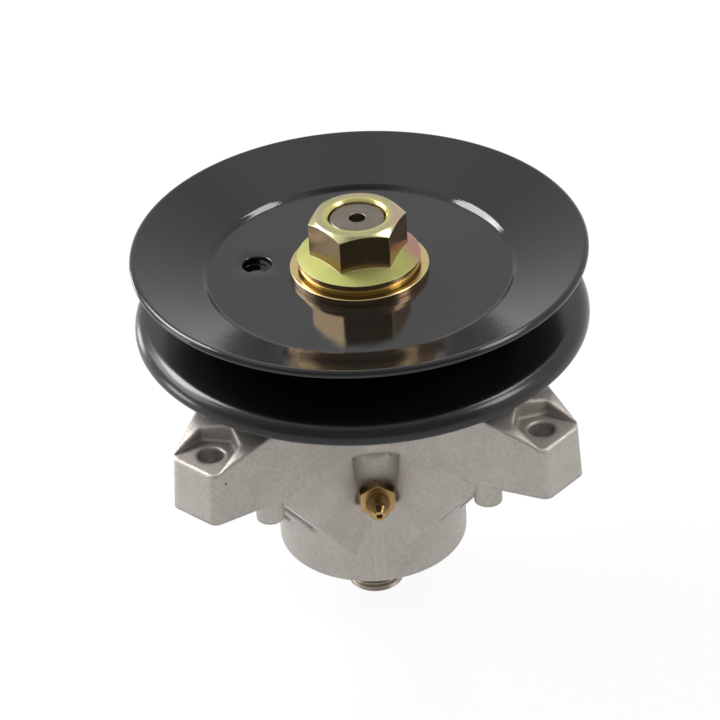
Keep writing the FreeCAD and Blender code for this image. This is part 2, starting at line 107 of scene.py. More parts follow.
PIT_PLACE = (-0.0415, -0.0541, 0.0122)  # the one pit seen on the front left arm, painted dark as the shade in it
PIT_SHADE_EDGE = (0.0002, 0.0005)             # radii over which that pit's painted shade fades out
DUST = (0.05, 0.05, 0.048)
LOWER_DISH_TOP = (0.034, 0.037)         # heights over which the paint turns from soft to glossy
STUD_TOP = (-0.05, -0.03)               # heights over which the shaft's brighter foot turns plain
PLATING_FOOT, PLATING_TOP = 0.0430, 0.0608
# Where the washer ends, and the nut's collar begins and ends, as shares of the plating's height
WASHER_TOP, COLLAR_FOOT, COLLAR_TOP = (0.115, 0.13), (0.17, 0.19), (0.43, 0.50)
MOUTH_EDGE = (0.0088, 0.0102)           # radii over which the nut's mouth, painted lighter as its highlight, blends into its top
ROSE_LEAN, ROSE_EDGE = 0.47, (0.009, 0.0145)  # the collar turns rose where x + lean y is this large
PLATING = {
    "upright_gold": (0.50, 0.38, 0.19), "upright_rose": (0.52, 0.32, 0.20),
    "top_green": (0.40, 0.39, 0.20), "top_rose": (0.46, 0.33, 0.25),
    # seat is painted shade under the nut's collar; mouth is the plating painted lighter as its highlight
    "mouth": (0.50, 0.49, 0.17), "collar_rose": (0.38, 0.22, 0.19), "seat": (0.28, 0.22, 0.09),
    # the edge colour below is wear and a painted highlight
    "washer_rim": (0.56, 0.36, 0.22), "washer_top": (0.54, 0.42, 0.19), "wear_and_highlight": (0.68, 0.63, 0.42),
}


# Property groups

def number(name, description, value, **settings):
    return bpy.props.FloatProperty(name=name, description=description, default=value, **settings)


def length(name, description, metres):
    return number(name, description, metres, unit="LENGTH", precision=5)


def angle(name, description, degrees):
    return number(name, description, math.radians(degrees), unit="ROTATION")


def colour(name, description, rgb):
    return bpy.props.FloatVectorProperty(name=name, description=description, default=rgb, size=3,
                                         min=0, max=1, subtype="COLOR")


class SpindleShaftSizes(bpy.types.PropertyGroup):
    """Sizes of the shaft's turned surface and its threads."""
    foot: length("Foot", "Height of the stud's lower end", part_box("spindle_shaft")[0].z)
    top: length("Top", "Height of the shaft's upper end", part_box("spindle_shaft")[1].z)
    thread_r: length("Thread radius", "Outer radius of both threads", 0.0079375)
    pitch: length("Pitch", "Rise of the threads in one turn", 0.0014111)
    depth: length("Thread depth", "Depth of the threads' grooves", 0.00082)
    chamfer: length("End chamfer", "Chamfer on both ends", 0.0006)
    journal_r: length("Journal radius", "Radius where the bearings sit", 0.0085)
    collar_r: length("Collar radius", "Radius of the collar under the lower bearing", 0.0113)
    notch: length("Notch depth", "Depth of the blade seat's notches", 0.0018)
    centre_r: length("Centre hole radius", "Radius of the centre hole in the upper end", 0.0023)
    centre_depth: length("Centre hole depth", "Depth of the centre hole's straight wall", 0.003)
    blade_seat_foot: length("Blade seat foot", "Lower end of the star-shaped blade seat", -0.0525)
    collar_foot: length("Collar foot", "Lower face of the collar", -0.0475)
    collar_top: length("Collar top", "Upper face of the collar", -0.0445)
    flats_foot: length("Flats foot", "Lower end of the drive flats", 0.0352)
    journal_top: length("Journal top", "Upper end of the journal", 0.04297)
    flat_half: length("Flat", "Drive flats from the axis", 0.0079875)


class PulleySizes(bpy.types.PropertyGroup):
    """Sizes of the two pressed dishes of the pulley."""
    rim_r: length("Rim radius", "Outer radius of the pulley", 0.0635)
    sheet: length("Sheet", "Thickness of the pressed sheet", SHEET)
    lower_web: length("Lower web", "Underside of the lower web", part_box("pulley_lower_half")[1].z - SHEET)
    web_r: length("Web radius", "Where the upper web turns up into its step", 0.0426)
    step_rise: length("Step rise", "Height of the low step between the upper web and its flange", 0.0011)
    step_angle: angle("Step", "Slope of the low step", 34.0)
    step_foot_r: length("Step foot bend", "Middle radius of the bend below the step", 0.0026)
    step_top_r: length("Step top bend", "Middle radius of the bend above the step", 0.003)
    flange_angle: angle("Upper flange", "Slope of the upper flange", 20.5)
    groove_r: length("Groove radius", "Inner wall of the belt groove", 0.043)
    groove_drop: length("Groove drop", "Foot of the groove's wall below the middle of the lower web", 0.00335)
    groove_top_r: length("Groove top bend", "Middle radius of the bend above the groove's wall", 0.0016)
    groove_foot_r: length("Groove foot bend", "Middle radius of the bend below the groove's wall", 0.0016)
    lower_angle: angle("Lower flange", "Slope of the lower flange", 13.8)
    lip_r: length("Lip bend", "Middle radius of the curled lip", 0.0034)
    lip_tail: length("Lip tail", "Straight tail of the lip", 0.00025)
    hole_r: length("Web hole radius", "Radius of the round hole in the web", 0.0041)
    hole_round: length("Web hole round", "Rounding of the hole's upper edge", 0.00045)
    hole_place: length("Web hole place", "Distance of the round hole from the axis", 0.029)
    hole_angle: angle("Web hole angle", "Direction of the round hole", 167.0)


class FittingSpringSizes(bpy.types.PropertyGroup):
    """Coil spring behind the grease fitting's check ball."""
    wire_r: length("Wire", "Radius of the wire", 0.000175)
    turns: bpy.props.IntProperty(name="Turns", description="Turns of the coil", default=6)
    travel: length("Travel", "How far the check ball pushes the spring in", 0.0008)


class SpindleFinishes(bpy.types.PropertyGroup):
    """Colours of the spindle's finishes."""
    cast_aluminium: colour("Cast aluminium", "Skin of the die-cast housing", (0.43, 0.395, 0.365))
    black_paint: colour("Black paint", "Paint on the pulley", (0.0045, 0.0045, 0.0047))
    yellow_zinc: colour("Yellow zinc", "Plating on the nut's collar", (0.34, 0.345, 0.125))
    shaft_steel: colour("Shaft steel", "Turned steel of shaft and spacers", (0.17, 0.15, 0.125))
    bearing_steel: colour("Bearing steel", "Ground steel of the bearings", (0.62, 0.62, 0.63))
    brass: colour("Brass", "Turned brass of the grease fitting", (0.40, 0.26, 0.11))
    seal_rubber: colour("Seal rubber", "Moulded rubber of the bearing seals", (0.02, 0.02, 0.021))


class StageLook(bpy.types.PropertyGroup):
    """Floor, light and camera."""
    floor: colour("Floor", "Colour of the floor", (0.92, 0.92, 0.92))
    surround: number("Surround", "Strength of the even light all round", 0.35)
    lens: number("Lens", "Focal length in millimetres on a 36 mm sensor", 181.565)
    distance: length("Distance", "Camera from the point it looks at", 1.03)
    azimuth: angle("Azimuth", "Direction of the camera round the object", -2.41)
    elevation: angle("Elevation", "Height of the camera above the horizon", 33.59)
    roll: angle("Roll", "Turn of the camera about its own axis", -3.15)


# Surfaces

def lay_mesh(name, points, quads, body, slot, replaces):
    """A mesh object from an array of points and an array of four-cornered faces. Equal points are
    merged, so seams and poles close, and the faces are turned outwards."""
    mesh = bpy.data.meshes.new(name)
    mesh.vertices.add(len(points))
    mesh.vertices.foreach_set("co", np.ascontiguousarray(points, np.float32).ravel())
    mesh.loops.add(quads.size)
    mesh.loops.foreach_set("vertex_index", np.ascontiguousarray(quads, np.int32).ravel())
    mesh.polygons.add(len(quads))
    mesh.polygons.foreach_set("loop_start", np.arange(0, quads.size, 4, dtype=np.int32))
    mesh.update(calc_edges=True)
    form = bmesh.new()
    form.from_mesh(mesh)
    bmesh.ops.remove_doubles(form, verts=form.verts, dist=MERGE)
    bmesh.ops.dissolve_degenerate(form, edges=form.edges, dist=SLIVER)
    bmesh.ops.recalc_face_normals(form, faces=form.faces)
    form.to_mesh(mesh)
    form.free()
    mesh.polygons.foreach_set("use_smooth", np.ones(len(mesh.polygons), bool))
    mesh.set_sharp_from_angle(angle=SHARP_EDGE)
    piece = bpy.data.objects.new(name, mesh)
    bpy.context.scene.collection.objects.link(piece)
    piece.data.materials.append(bpy.data.materials[slot])
    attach(piece, body)
    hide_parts(*replaces)
    return piece


def grid_faces(rows, columns, close_rows):
    """Four-cornered faces of a grid that closes round its columns, and over its rows where asked."""
    i = np.arange(rows if close_rows else rows - 1)[:, None]
    j = np.arange(columns)[None, :]
    k, m = (i + 1) % rows, (j + 1) % columns
    return np.stack([i * columns + j, i * columns + m, k * columns + m, k * columns + j], -1)


def revolved(radii, heights, turn):
    """Points (r cos t, r sin t, z) for radii and heights given on a grid of rows and turn angles."""
    radii, heights = np.broadcast_arrays(radii, heights)
    return np.stack([radii * np.cos(turn), radii * np.sin(turn), heights], -1)


def thread_groove(heights, turn, pitch, low, high):
    """Share of the full depth of a right-hand thread: w = z / pitch - t / 2 pi, a triangle wave of w
    with its crest and root cut flat, faded out over one pitch at both ends."""
    wave = np.abs(2 * np.mod(heights / pitch - turn / FULL_TURN, 1) - 1)
    cut = np.clip((wave - THREAD_CREST) / THREAD_FLANK, 0, 1)
    fade = np.clip((heights - low) / pitch, 0, 1) * np.clip((high - heights) / pitch, 0, 1)
    return cut * fade


def drive_form(sizes, turn):
    """Radius of the journal with its two flats: r = half / |cos t|, at most the journal's own."""
    return np.minimum(sizes.journal_r, sizes.flat_half / np.maximum(np.abs(np.cos(turn)), NEAR_ZERO))


def star_form(outer, inner, turn):
    """Radius of a straight-sided star, with p the angle from the nearest tip and h half a tooth:
    r = outer inner sin h / (outer sin p + inner sin(h - p))."""
    part = np.abs(np.mod(turn + TOOTH_HALF, 2 * TOOTH_HALF) - TOOTH_HALF)
    return outer * inner * math.sin(TOOTH_HALF) / (outer * np.sin(part) + inner * np.sin(TOOTH_HALF - part))


def shaft_surface(sizes, columns=144):
    """The shaft as one surface r(t, z): cap, chamfer, threaded stud, star-shaped seat, collar, journal
    with two flats, upper thread, chamfer, end face and centre hole."""
    turn = np.arange(columns)[None, :] * FULL_TURN / columns
    even = np.ones_like(turn)
    outer = sizes.collar_r - FIT
    star = star_form(outer, outer - sizes.notch, turn)
    flat = drive_form(sizes, turn)
    end_r, hole_foot = sizes.thread_r - sizes.chamfer, sizes.top - sizes.centre_depth
    rows = [(0 * even, sizes.foot), (end_r * even, sizes.foot)]
    rows += thread_rows(sizes, sizes.foot + sizes.chamfer, sizes.blade_seat_foot - THREAD_RUNOUT, turn)
    rows += [((sizes.thread_r - THREAD_RUNOUT) * even, sizes.blade_seat_foot)]
    rows += [(star, sizes.blade_seat_foot), (star, sizes.collar_foot)]
    rows += [(sizes.collar_r * even, sizes.collar_foot), (sizes.collar_r * even, sizes.collar_top)]
    rows += [(sizes.journal_r * even, sizes.collar_top), (sizes.journal_r * even, sizes.flats_foot)]
    rows += [(flat, sizes.flats_foot), (flat, sizes.journal_top)]
    rows += [(sizes.thread_r * even, sizes.journal_top)]
    rows += thread_rows(sizes, sizes.journal_top + THREAD_RUNOUT, sizes.top - sizes.chamfer, turn)
    rings = np.linspace(end_r, sizes.centre_r + EDGE_BREAK, END_RINGS)
    rows += [(r * even, sizes.top) for r in rings]
    rows += [(sizes.centre_r * even, sizes.top - EDGE_BREAK), (sizes.centre_r * even, hole_foot)]
    rows += [(0 * even, hole_foot - sizes.centre_r)]
    radii = np.concatenate([r for r, z in rows])
    heights = np.array([z for r, z in rows])[:, None] * even
    return revolved(radii, heights, turn).reshape(-1, 3), grid_faces(len(rows), columns, False).reshape(-1, 4)


def thread_rows(sizes, low, high, turn):
    """Rows of (radii, height) up a threaded stretch."""
    count = int((high - low) / sizes.pitch * ROWS_PER_PITCH)
    heights = np.linspace(low, high, count)[:, None]
    radii = sizes.thread_r - sizes.depth * thread_groove(heights, turn, sizes.pitch, low, high)
    return [(radii[k:k + 1], heights[k, 0]) for k in range(count)]


def coil_surface(sizes, low, high, steps=24, columns=10):
    """A tube of radius w along a helix about y in the box from low to high: with s from 0 to 1 and
    t = 2 pi turns s, the point is (x0 + q cos t, y1 - s L + w sin a, z0 + q sin t), q = R + w cos a.
    w is 0 on the end rows, which closes them."""
    wire = sizes.wire_r
    along = np.linspace(0, 1, steps * sizes.turns + 1)
    along = np.concatenate([along[:1], along, along[-1:]])[:, None]
    thick = np.full_like(along, wire)
    thick[[0, -1]] = 0
    turn = FULL_TURN * sizes.turns * along
    side = np.linspace(0, FULL_TURN, columns, endpoint=False)[None, :]
    middle = (low + high) / 2
    reach = (high.x - low.x) / 2 - wire + thick * np.cos(side)
    depth = high.y - wire - along * (high.y - low.y - 2 * wire) + thick * np.sin(side)
    points = np.stack([middle.x + reach * np.cos(turn), depth, middle.z + reach * np.sin(turn)], -1)
    return points.reshape(-1, 3), grid_faces(len(along), columns, False).reshape(-1, 4)


def bent_side(path, bends, side, steps=14):
    """One face of a bent sheet: every run of the path moved sideways, every corner an arc about the
    bend's centre whose radius is the middle radius less or plus the move."""
    points = np.array(path)
    runs = np.diff(points, axis=0)
    runs /= np.linalg.norm(runs, axis=1)[:, None]
    normals = np.stack([-runs[:, 1], runs[:, 0]], 1)
    line = [points[:1] + normals[:1] * side]
    for k, bend in enumerate(bends):
        into, out = runs[k], runs[k + 1]
        turn = math.atan2(into[0] * out[1] - into[1] * out[0], into @ out)
        hand = math.copysign(1, turn)
        centre = points[k + 1] - into * bend * math.tan(abs(turn) / 2) + normals[k] * bend * hand
        sweep = np.linspace(0, turn, steps)[:, None]
        spoke = -(bend * hand - side)
        across = np.array([-normals[k][1], normals[k][0]])
        line.append(centre + spoke * (normals[k] * np.cos(sweep) + across * np.sin(sweep)))
    line.append(points[-1:] + normals[-1:] * side)
    return np.concatenate(line)


def guarded(line, near=0.0002, long=0.0016):
    """The same line with a point just inside both ends of every long straight, so that the straight is
    shaded flat."""
    step = np.diff(line, axis=0)
    size = np.linalg.norm(step, axis=1)[:, None]
    inset = step / size * near
    straight = size[:, 0] > long
    rows = np.stack([line[:-1], line[:-1] + inset, line[1:] - inset], 1)
    kept = np.stack([np.ones_like(straight), straight, straight], 1)
    return np.concatenate([rows[kept], line[-1:]])


def sheet_outline(path, bends, sheet, web_rows):
    """Closed (radius, height) outline of a pressed sheet: upper face outwards, half round rim, lower
    face back. The web rows are put in on both faces between the first two points."""
    upper, lower = bent_side(path, bends, sheet / 2), bent_side(path, bends, -sheet / 2)
    points = np.array(path)
    run = (points[-1] - points[-2]) / np.linalg.norm(points[-1] - points[-2])
    normal = np.array([-run[1], run[0]])
    sweep = np.linspace(0, math.pi, RIM_STEPS)[1:-1, None]
    rim = points[-1] + sheet / 2 * (normal * np.cos(sweep) + run * np.sin(sweep))
    web_upper = np.stack([web_rows, np.full_like(web_rows, upper[0, 1])], 1)
    web_lower = np.stack([web_rows, np.full_like(web_rows, lower[0, 1])], 1)
    outer, inner = guarded(upper[1:]), guarded(lower[1:])
    return np.concatenate([upper[:1], web_upper, outer, rim, inner[::-1], web_lower[::-1], lower[:1]])


def pressed_dish(sizes, path, bends, columns=288):
    """A pressed dish: the sheet's outline turned about the axis, its inner edge drawn to the double-flat
    drive hole, and the web's round hole let into a sector whose edge points are carried straight onto
    the circle."""
    band = sizes.hole_place * HOLE_COLUMNS * FULL_TURN / columns
    hole_rows = np.linspace(sizes.hole_place - band, sizes.hole_place + band, HOLE_ROWS)
    outline = sheet_outline(path, bends, sizes.sheet, np.concatenate([PLAIN_WEB_ROWS, hole_rows]))
    rows = len(outline)
    turn = sizes.hole_angle + np.arange(columns)[None, :] * FULL_TURN / columns
    radii = np.repeat(outline[:, :1], columns, 1)
    radii[[0, -1]] = drive_form(bpy.context.scene.spindle_shaft, turn) + FIT
    points = revolved(radii, outline[:, 1:], turn).reshape(-1, 3)
    first = 1 + len(PLAIN_WEB_ROWS)
    last = first + HOLE_ROWS - 1
    sector = np.zeros((rows, columns), bool)
    sector[first:last, :HOLE_COLUMNS] = True
    sector[first:last, -HOLE_COLUMNS:] = True
    sector |= sector[(rows - 2 - np.arange(rows)) % rows]
    faces = grid_faces(rows, columns, True)[~sector]
    side = np.arange(-HOLE_COLUMNS, HOLE_COLUMNS + 1) % columns
    up = np.arange(first, last + 1)
    edge = np.concatenate([first * columns + side[:-1], up[:-1] * columns + side[-1],
                           last * columns + side[:0:-1], up[:0:-1] * columns + side[0]])
    under = (rows - 1 - edge // columns) * columns + edge % columns
    rings, patches = hole_wall(sizes, points, edge, under)
    return np.concatenate([points, rings]), np.concatenate([faces, patches])


def hole_wall(sizes, points, edge, under):
    """Points and faces of the web hole's wall from the sector's upper edge to its lower one: a quarter
    round (r + q (1 - sin a), z - q (1 - cos a)), a straight wall and a small chamfer."""
    centre = sizes.hole_place * np.array([math.cos(sizes.hole_angle), math.sin(sizes.hole_angle)])
    way = points[edge, :2] - centre
    way /= np.linalg.norm(way, axis=1)[:, None]
    top, foot = points[edge[0], 2], points[under[0], 2]
    sweep = np.linspace(0, math.pi / 2, ROUND_STEPS)
    rolled = np.stack([sizes.hole_r + sizes.hole_round * (1 - np.sin(sweep)),
                       top - sizes.hole_round * (1 - np.cos(sweep))], 1)
    levels = list(rolled) + [(sizes.hole_r, foot + EDGE_BREAK), (sizes.hole_r + EDGE_BREAK, foot)]
    count = len(edge)
    rings = np.concatenate([np.column_stack([centre + way * r, np.full(count, z)]) for r, z in levels])
    loops = [edge, *(len(points) + np.arange(len(rings)).reshape(-1, count)), under]
    patches = [np.stack([a, np.roll(a, -1), np.roll(b, -1), b], 1) for a, b in zip(loops, loops[1:])]
    return rings, np.concatenate(patches)


def upper_path(sizes):
    """Middle line of the upper dish as (radius, height): flat web, low step, then a cone that rises to
    the rim; and the radii of its bends."""
    middle = sizes.lower_web + sizes.sheet * 1.5
    edge = sizes.rim_r - sizes.sheet / 2
    step_r = sizes.web_r + sizes.step_rise / math.tan(sizes.step_angle)
    step_top = middle + sizes.step_rise
    rim = step_top + (edge - step_r) * math.tan(sizes.flange_angle)
    path = [(WEB_START, middle), (sizes.web_r, middle), (step_r, step_top), (edge, rim)]
    return path, [sizes.step_foot_r, sizes.step_top_r]


def lower_path(sizes):
    """Middle line of the lower dish as (radius, height): flat web, groove wall, falling cone, curled
    lip; and the radii of its bends."""
    middle = sizes.lower_web + sizes.sheet / 2
    wall, edge = sizes.groove_r - sizes.sheet / 2, sizes.rim_r - sizes.sheet / 2
    groove_foot = middle - sizes.groove_drop
    corner = groove_foot - (edge - wall) * math.tan(sizes.lower_angle)
    widest = corner - sizes.lip_r * math.tan((math.pi / 2 - sizes.lower_angle) / 2)
    path = [(WEB_START, middle), (wall, middle), (wall, groove_foot), (edge, corner),
            (edge, widest - sizes.lip_tail)]
    return path, [sizes.groove_top_r, sizes.groove_foot_r, sizes.lip_r]


# Finishes

class Nodes:
    """Short hand for one node tree."""

    def __init__(self, tree):
        self.tree = tree

    def add(self, kind, **settings):
        """A node of the given kind; settings name its properties."""
        node = self.tree.nodes.new(kind)
        for key, value in settings.items():
            setattr(node, key, value)
        return node

    def put(self, socket, value):
        """Links a socket, or sets a plain value."""
        if isinstance(value, bpy.types.NodeSocket):
            self.tree.links.new(value, socket)
        else:
            socket.default_value = value

    def math(self, operation, a, b=0.0, c=0.0):
        """The result of an operation on up to three values."""
        node = self.add("ShaderNodeMath", operation=operation)
        for socket, value in zip(node.inputs, (a, b, c)):
            self.put(socket, value)
        return node.outputs[0]

    def mix(self, factor, a, b):
        """Colour a where the factor is 0, colour b where it is 1."""
        node = self.add("ShaderNodeMix", data_type="RGBA")
        self.put(node.inputs[0], factor)
        for socket, value in zip(node.inputs[6:8], (a, b)):
            self.put(socket, value if isinstance(value, bpy.types.NodeSocket) else tuple(value)[:3] + (1.0,))
        return node.outputs[2]

    def noise(self, vector, scale, detail=2.0, roughness=0.5, distortion=0.0):
        """Noise from 0 to 1."""
        node = self.add("ShaderNodeTexNoise")
        settings = {"Vector": vector, "Scale": scale, "Detail": detail, "Roughness": roughness,
                    "Distortion": distortion}
        for name, value in settings.items():
            self.put(node.inputs[name], value)
        return node.outputs[0]

    def span(self, value, low, high, new_low=0.0, new_high=1.0):
        """Maps a stretch of values onto another, smoothly."""
        node = self.add("ShaderNodeMapRange", interpolation_type="SMOOTHSTEP")
        for socket, v in zip(node.inputs, (value, low, high, new_low, new_high)):
            self.put(socket, v)
        return node.outputs[0]

    def place(self):
        """The point in the object's own coordinates, which are the part's."""
        return self.add("ShaderNodeTexCoord").outputs["Object"]

    def split(self, vector):
        """The x, y and z of a vector."""
        node = self.add("ShaderNodeSeparateXYZ")
        self.put(node.inputs[0], vector)
        return node.outputs

    def vector(self, operation, a, b=(0.0, 0.0, 0.0)):
        """The outputs of an operation on two vectors."""
        node = self.add("ShaderNodeVectorMath", operation=operation)
        for socket, value in zip(node.inputs, (a, b)):
            self.put(socket, value)
        return node.outputs

    def across(self):
        """Distance from the shaft axis."""
        flat = self.vector("MULTIPLY", self.place(), (1.0, 1.0, 0.0))["Vector"]
        return self.vector("LENGTH", flat)["Value"]

    def height(self):
        """Height up the shaft axis."""
        return self.split(self.place())[2]

    def facing(self):
        """The normal of the surface itself."""
        return self.add("ShaderNodeNewGeometry").outputs["Normal"]


def effect_group(name, inputs, outputs):
    """An empty shader node group with float inputs and outputs."""
    tree = bpy.data.node_groups.new(name, "ShaderNodeTree")
    for label, value in inputs:
        socket = tree.interface.new_socket(name=label, in_out="INPUT", socket_type="NodeSocketFloat")
        socket.default_value = value
    for label in outputs:
        tree.interface.new_socket(name=label, in_out="OUTPUT", socket_type="NodeSocketFloat")
    nodes = Nodes(tree)
    return nodes, nodes.add("NodeGroupInput").outputs, nodes.add("NodeGroupOutput").inputs


def build_edge_group():
    """Edges: how far the rounded normal leans from the flat one, broken up by noise; the finishes paint this
    lighter as wear and a painted highlight.
    """
    n, given, out = effect_group("edge_wear_and_highlight", [("Reach", 0.0008), ("Breakup", 0.5)], ["Edge"])
    bevel = n.add("ShaderNodeBevel", samples=6)
    n.put(bevel.inputs["Radius"], given["Reach"])
    likeness = n.vector("DOT_PRODUCT", bevel.outputs[0], n.facing())["Value"]
    lean = n.span(n.math("SUBTRACT", 1.0, likeness), 0.01, 0.16)
    noise = n.noise(n.place(), scale=420.0, detail=3.0, roughness=0.6)
    start = n.math("MULTIPLY", given["Breakup"], 0.7)
    broken = n.span(noise, start, n.math("ADD", given["Breakup"], 0.25))
    n.put(out["Edge"], n.math("MULTIPLY", lean, broken))


def build_skin_group():
    """Cast skin: a tone of slow clouds and fine grain, pebble height and scattered small pits."""
    n, given, out = effect_group("cast_skin", [("Cloud Scale", 45.0), ("Pebble Scale", 2200.0)],
                                 ["Tone", "Height", "Pits"])
    place = n.place()
    fine = given["Pebble Scale"]
    cloud = n.noise(place, scale=given["Cloud Scale"], detail=4.0, roughness=0.6, distortion=0.4)
    pebble = n.noise(place, scale=fine, detail=3.0, roughness=0.6)
    broad = n.noise(place, scale=n.math("MULTIPLY", fine, 0.2))
    grain = n.noise(place, scale=n.math("MULTIPLY", fine, 0.55), detail=3.0, roughness=0.65)
    cells = n.add("ShaderNodeTexVoronoi")
    n.put(cells.inputs["Vector"], place)
    n.put(cells.inputs["Scale"], 95.0)
    seldom = n.span(n.noise(place, scale=60.0, detail=1.0), 0.62, 0.7)
    pits = n.math("MULTIPLY", n.span(cells.outputs["Distance"], 0.05, 0.09, 1.0, 0.0), seldom)
    even = n.math("MULTIPLY", n.span(cloud, 0.28, 0.72), 0.45)
    n.put(out["Tone"], n.math("MULTIPLY_ADD", n.span(grain, 0.3, 0.7), 0.55, even))
    height = n.math("MULTIPLY_ADD", broad, 0.8, pebble)
    n.put(out["Height"], n.math("MULTIPLY_ADD", pits, -2.0, height))
    n.put(out["Pits"], pits)


def build_rings_group():
    """Turning marks: sine rings of the distance from the shaft axis plus the height, with uneven
    strength."""
    n, given, out = effect_group("turning_marks", [("Spacing", 0.00025)], ["Height", "Tone"])
    place = n.place()
    count = n.math("DIVIDE", FULL_TURN, given["Spacing"])
    rings = n.math("SINE", n.math("MULTIPLY", n.math("ADD", n.across(), n.height()), count))
    n.put(out["Height"], n.math("MULTIPLY", rings, n.noise(place, scale=900.0)))
    n.put(out["Tone"], n.span(n.noise(place, scale=130.0, detail=4.0, roughness=0.65), 0.3, 0.7))


def build_plating_group():
    """Plating film: a cloud that drifts slowly over the surface, the height between two levels as a
    share, fine clouds and a fine roughness."""
    n, given, out = effect_group("plating_film", [("Scale", 60.0), ("Foot", 0.0), ("Top", 0.01)],
                                 ["Drift", "Level", "Cloud", "Height"])
    place = n.place()
    rise = n.math("SUBTRACT", n.height(), given["Foot"])
    n.put(out["Level"], n.math("DIVIDE", rise, n.math("SUBTRACT", given["Top"], given["Foot"])))
    drift = n.noise(place, scale=given["Scale"], roughness=0.45, distortion=0.6)
    cloud = n.noise(place, scale=n.math("MULTIPLY", given["Scale"], 3.0), detail=3.0, roughness=0.6)
    n.put(out["Drift"], n.span(drift, 0.35, 0.65))
    n.put(out["Cloud"], n.span(cloud, 0.3, 0.7))
    n.put(out["Height"], n.noise(place, scale=1800.0, roughness=0.55))


def effect(nodes, name, **values):
    """Places a shared effect in a material with its own values; returns its outputs."""
    node = nodes.add("ShaderNodeGroup", node_tree=bpy.data.node_groups[name])
    for label, value in values.items():
        nodes.put(node.inputs[label.replace("_", " ")], value)
    return node.outputs


def new_finish(name, **sockets):
    """A material with a Principled BSDF whose plain values are set on its own sockets."""
    material = bpy.data.materials.new(name)
    material.use_nodes = True
    nodes = Nodes(material.node_tree)
    shader = material.node_tree.nodes["Principled BSDF"]
    for label, value in sockets.items():
        nodes.put(shader.inputs[label.replace("_", " ")], value)
    return nodes, shader.inputs


def rounded_normal(nodes, reach):
    """A normal that rolls over sharp edges within the reach."""
    bevel = nodes.add("ShaderNodeBevel", samples=8)
    bevel.inputs["Radius"].default_value = reach
    return bevel.outputs[0]


def bump(nodes, height, distance, normal=None):
    """A normal that follows a height, over the given normal where there is one."""
    node = nodes.add("ShaderNodeBump")
    node.inputs["Strength"].default_value = 1.0
    node.inputs["Distance"].default_value = distance
    nodes.put(node.inputs["Height"], height)
    if normal is not None:
        nodes.put(node.inputs["Normal"], normal)
    return node.outputs[0]


def shade(rgb, factor):
    """A colour made lighter or darker."""
    return tuple(min(1.0, channel * factor) for channel in rgb)


def make_cast_aluminium(rgb):
    """Satin die casting: grainy grey, fine pebble, a few pits painted dark as the shade in them, edges
    painted lighter as wear and a painted highlight.
    """
    n, to = new_finish("cast_aluminium", Metallic=0.75)
    skin = effect(n, "cast_skin")
    edge = effect(n, "edge_wear_and_highlight", Reach=0.0009, Breakup=0.35)["Edge"]
    tone = n.mix(skin["Tone"], shade(rgb, 0.86), shade(rgb, 1.08))
    # The pits and the one pit are painted near black: painted shade in the hollows.
    pit = n.span(n.vector("DISTANCE", n.place(), PIT_PLACE)["Value"], *PIT_SHADE_EDGE, 1.0, 0.0)
    tone = n.mix(n.math("MAXIMUM", skin["Pits"], pit), tone, shade(rgb, 0.2))
    # Edges are painted lighter: wear and a painted highlight.
    n.put(to["Base Color"], n.mix(edge, tone, shade(rgb, 1.2)))
    rough = n.span(skin["Tone"], 0.0, 1.0, 0.56, 0.44)
    n.put(to["Roughness"], n.math("MULTIPLY_ADD", edge, -0.14, rough))
    n.put(to["Normal"], bump(n, skin["Height"], distance=0.0001, normal=rounded_normal(n, 0.0018)))


def make_black_paint(rgb):
    """Gloss black paint with a slight ripple and faint dust, softer on the lower dish."""
    n, to = new_finish("black_paint", IOR=1.45)
    place = n.place()
    waves, orange_peel = n.noise(place, scale=260.0), n.noise(place, scale=2400.0, detail=1.0)
    ripple = n.math("MULTIPLY_ADD", waves, 1.5, orange_peel)
    dust = n.span(n.noise(place, scale=1500.0, detail=4.0, roughness=0.7), 0.62, 0.8)
    n.put(to["Base Color"], n.mix(n.math("MULTIPLY", dust, 0.1), rgb, DUST))
    soft = n.span(n.height(), *LOWER_DISH_TOP, 0.21, 0.07)
    n.put(to["Roughness"], n.math("MULTIPLY_ADD", dust, 0.12, soft))
    n.put(to["Normal"], bump(n, ripple, distance=0.00001))


